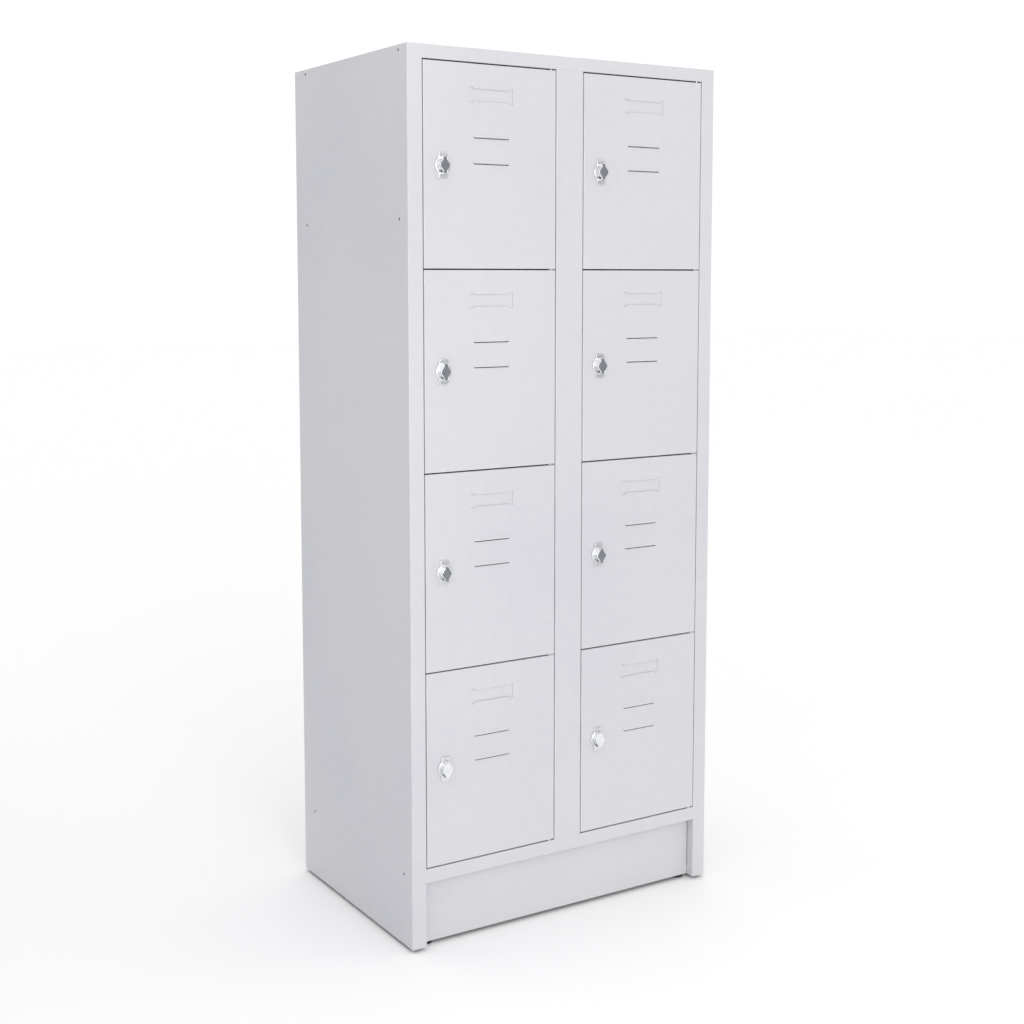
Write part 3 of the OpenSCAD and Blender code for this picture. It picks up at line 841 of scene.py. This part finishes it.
# The feet: radii of pad, nut and stem, ribs round the pad, and the stem's thread
foot = {
    "pad": 18 * mm, "ribs": 36, "ribDeep": 0.5 * mm, "nut": 7.6 * mm, "stem": 4 * mm, "around": 144,
    "pitch": 1.25 * mm, "threadDeep": 0.45 * mm, "threadFrom": 14.2 * mm,
}


def footMesh(tall):
    # rings up the axis: a ribbed pad, a cone, a hexagon nut and a threaded stem
    angle = np.arange(foot["around"]) * 2 * math.pi / foot["around"]
    rib = foot["ribDeep"] * (0.5 - 0.5 * np.cos(foot["ribs"] * angle))
    hexagon = foot["nut"] * math.cos(math.pi / 6) / np.cos((angle % (math.pi / 3)) - math.pi / 6)
    plain = np.ones_like(angle)
    rings = [(0 * plain, 0), (16.4 * mm * plain, 0), (17.4 * mm * plain - rib / 2, 0.3 * mm),
             (foot["pad"] - rib, 1.0 * mm), (foot["pad"] - rib, 3.0 * mm), (17.3 * mm * plain, 3.8 * mm),
             (16.6 * mm * plain, 4.0 * mm), (10.5 * mm * plain, 5.9 * mm), (9.0 * mm * plain, 6.1 * mm),
             (hexagon - 0.5 * mm, 6.1 * mm), (hexagon, 6.6 * mm), (hexagon, 13.4 * mm),
             (hexagon - 0.6 * mm, 13.9 * mm), (4.4 * mm * plain, 13.9 * mm)]
    heights = np.arange(foot["threadFrom"], tall - 1 * mm, foot["pitch"] / 6)
    rings += [(foot["stem"] - foot["threadDeep"] * screwThread(z, foot["pitch"], angle), z) for z in heights]
    rings += [(3.4 * mm * plain, tall - 0.5 * mm), (2.8 * mm * plain, tall), (0 * plain, tall)]
    radius = np.stack([r for r, _ in rings], axis=1)
    z = np.array([height for _, height in rings])

    def along(x, y):
        return np.stack([x, y, np.broadcast_to(z, radius.shape)], axis=-1)

    return lathed("foot", radius, angle, along)


def makeFeet():
    tall = boxes["foot_1"][1, 2] - boxes["foot_1"][0, 2]
    mesh = footMesh(tall)
    for number in footNumbers:
        low, high = boxes[f"foot_{number}"]
        centre = ((low[0] + high[0]) / 2, (low[1] + high[1]) / 2, low[2])
        place(f"foot_{number}_leveller", moved(mesh, f"foot_{number}_leveller", centre), rubber,
              f"levelling_foot_{number}", f"foot_{number}")


makeFeet()
print("feet ready")


# the parts that keep their own shape, by finish
keptParts = {
    powder: ["back_panel", "shelves", "centre_partition"],
    rubber: ["door_buffers"],
    zinc: ["foot_brackets", "latch_strikes", "hinge_brackets", "hinge_pins",
           *[f"{part}_{i}" for part in ("lock_nut", "cam") for i in doorNumbers]],
}
for finish, names in keptParts.items():
    for name in names:
        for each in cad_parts[name].material_slots:
            each.material = finish


# The studio: a white floor and sky, one soft light (place, size, watts), and two grey cards that the chrome
# and the left wall see (one end, the other end, heights, tone)
studio = {
    "floorTone": (0.97, 0.97, 0.97, 1), "floorHalf": 30, "skyTone": (1.0, 1.0, 1.0, 1), "skyStrength": 1.03,
    "light": ((-0.9, -4.0, 1.9), 2.2, 50), "aim": (-0.1, 0.0, 0.9),
    "cards": {"right_card": ((0.80, -2.9), (2.30, -2.7), (0.1, 2.3), (0.27, 0.28, 0.30, 1)),
              "left_card": ((-2.9, -0.9), (-2.9, 2.2), (0.4, 2.2), (0.30, 0.33, 0.38, 1))},
}
# The camera: its place, its turn and tilt in radians, its lens in mm on a 36 mm sensor, and its shift upwards
view = {
    "at": (-1.8866, -3.0356, 1.4473), "yaw": 0.5608, "pitch": -0.10, "lens": 53.43, "sensor": 36,
    "lift": -0.0807,
}


def stageSheet(name, corners, tone, roughness=0.8):
    # a plain matt sheet; its roughness = the given one + a little grain
    mesh = bpy.data.meshes.new(name)
    mesh.from_pydata([tuple(c) for c in corners], [], [(0, 1, 2, 3)])
    finish = Finish(name)
    grain = finish.noise(objectPlace(finish), 40, 3)
    softened = roughness + (grain - 0.5) * 0.1
    matt = {"Base Color": tone, "Roughness": softened, "Specular IOR Level": 0.1}
    mesh.materials.append(finish.shader(matt))
    sheet = bpy.data.objects.new(name, mesh)
    bpy.context.scene.collection.objects.link(sheet)
    return sheet


def makeStudio():
    far = studio["floorHalf"]
    stageSheet("floor", [(-far, -far, 0), (far, -far, 0), (far, far, 0), (-far, far, 0)], studio["floorTone"])
    for name, ((x0, y0), (x1, y1), (low, high), tone) in studio["cards"].items():
        card = stageSheet(name, [(x0, y0, low), (x1, y1, low), (x1, y1, high), (x0, y0, high)], tone)
        card.visible_shadow = card.visible_camera = False
    world = bpy.data.worlds.new("studio")
    world.use_nodes = True
    sky = world.node_tree.nodes["Background"]
    sky.inputs["Color"].default_value = studio["skyTone"]
    sky.inputs["Strength"].default_value = studio["skyStrength"]
    bpy.context.scene.world = world
    bpy.context.scene.view_settings.view_transform = "Standard"
    where, size, power = studio["light"]
    lamp = bpy.data.lights.new("key", "AREA")
    lamp.shape = "SQUARE"
    lamp.size = size
    lamp.energy = power
    light = bpy.data.objects.new("key", lamp)
    light.location = where
    aim = Vector(studio["aim"]) - Vector(where)
    light.rotation_euler = aim.to_track_quat("-Z", "Y").to_euler()
    bpy.context.scene.collection.objects.link(light)


def makeCamera():
    lens = bpy.data.cameras.new("camera")
    lens.lens = view["lens"]
    lens.sensor_width = view["sensor"]
    lens.shift_y = view["lift"]
    camera = bpy.data.objects.new("camera", lens)
    camera.location = view["at"]
    camera.rotation_euler = (math.pi / 2 + view["pitch"], 0, -view["yaw"])
    bpy.context.scene.collection.objects.link(camera)
    bpy.context.scene.camera = camera


makeStudio()
makeCamera()
print("studio ready")

bpy.context.view_layer.update()
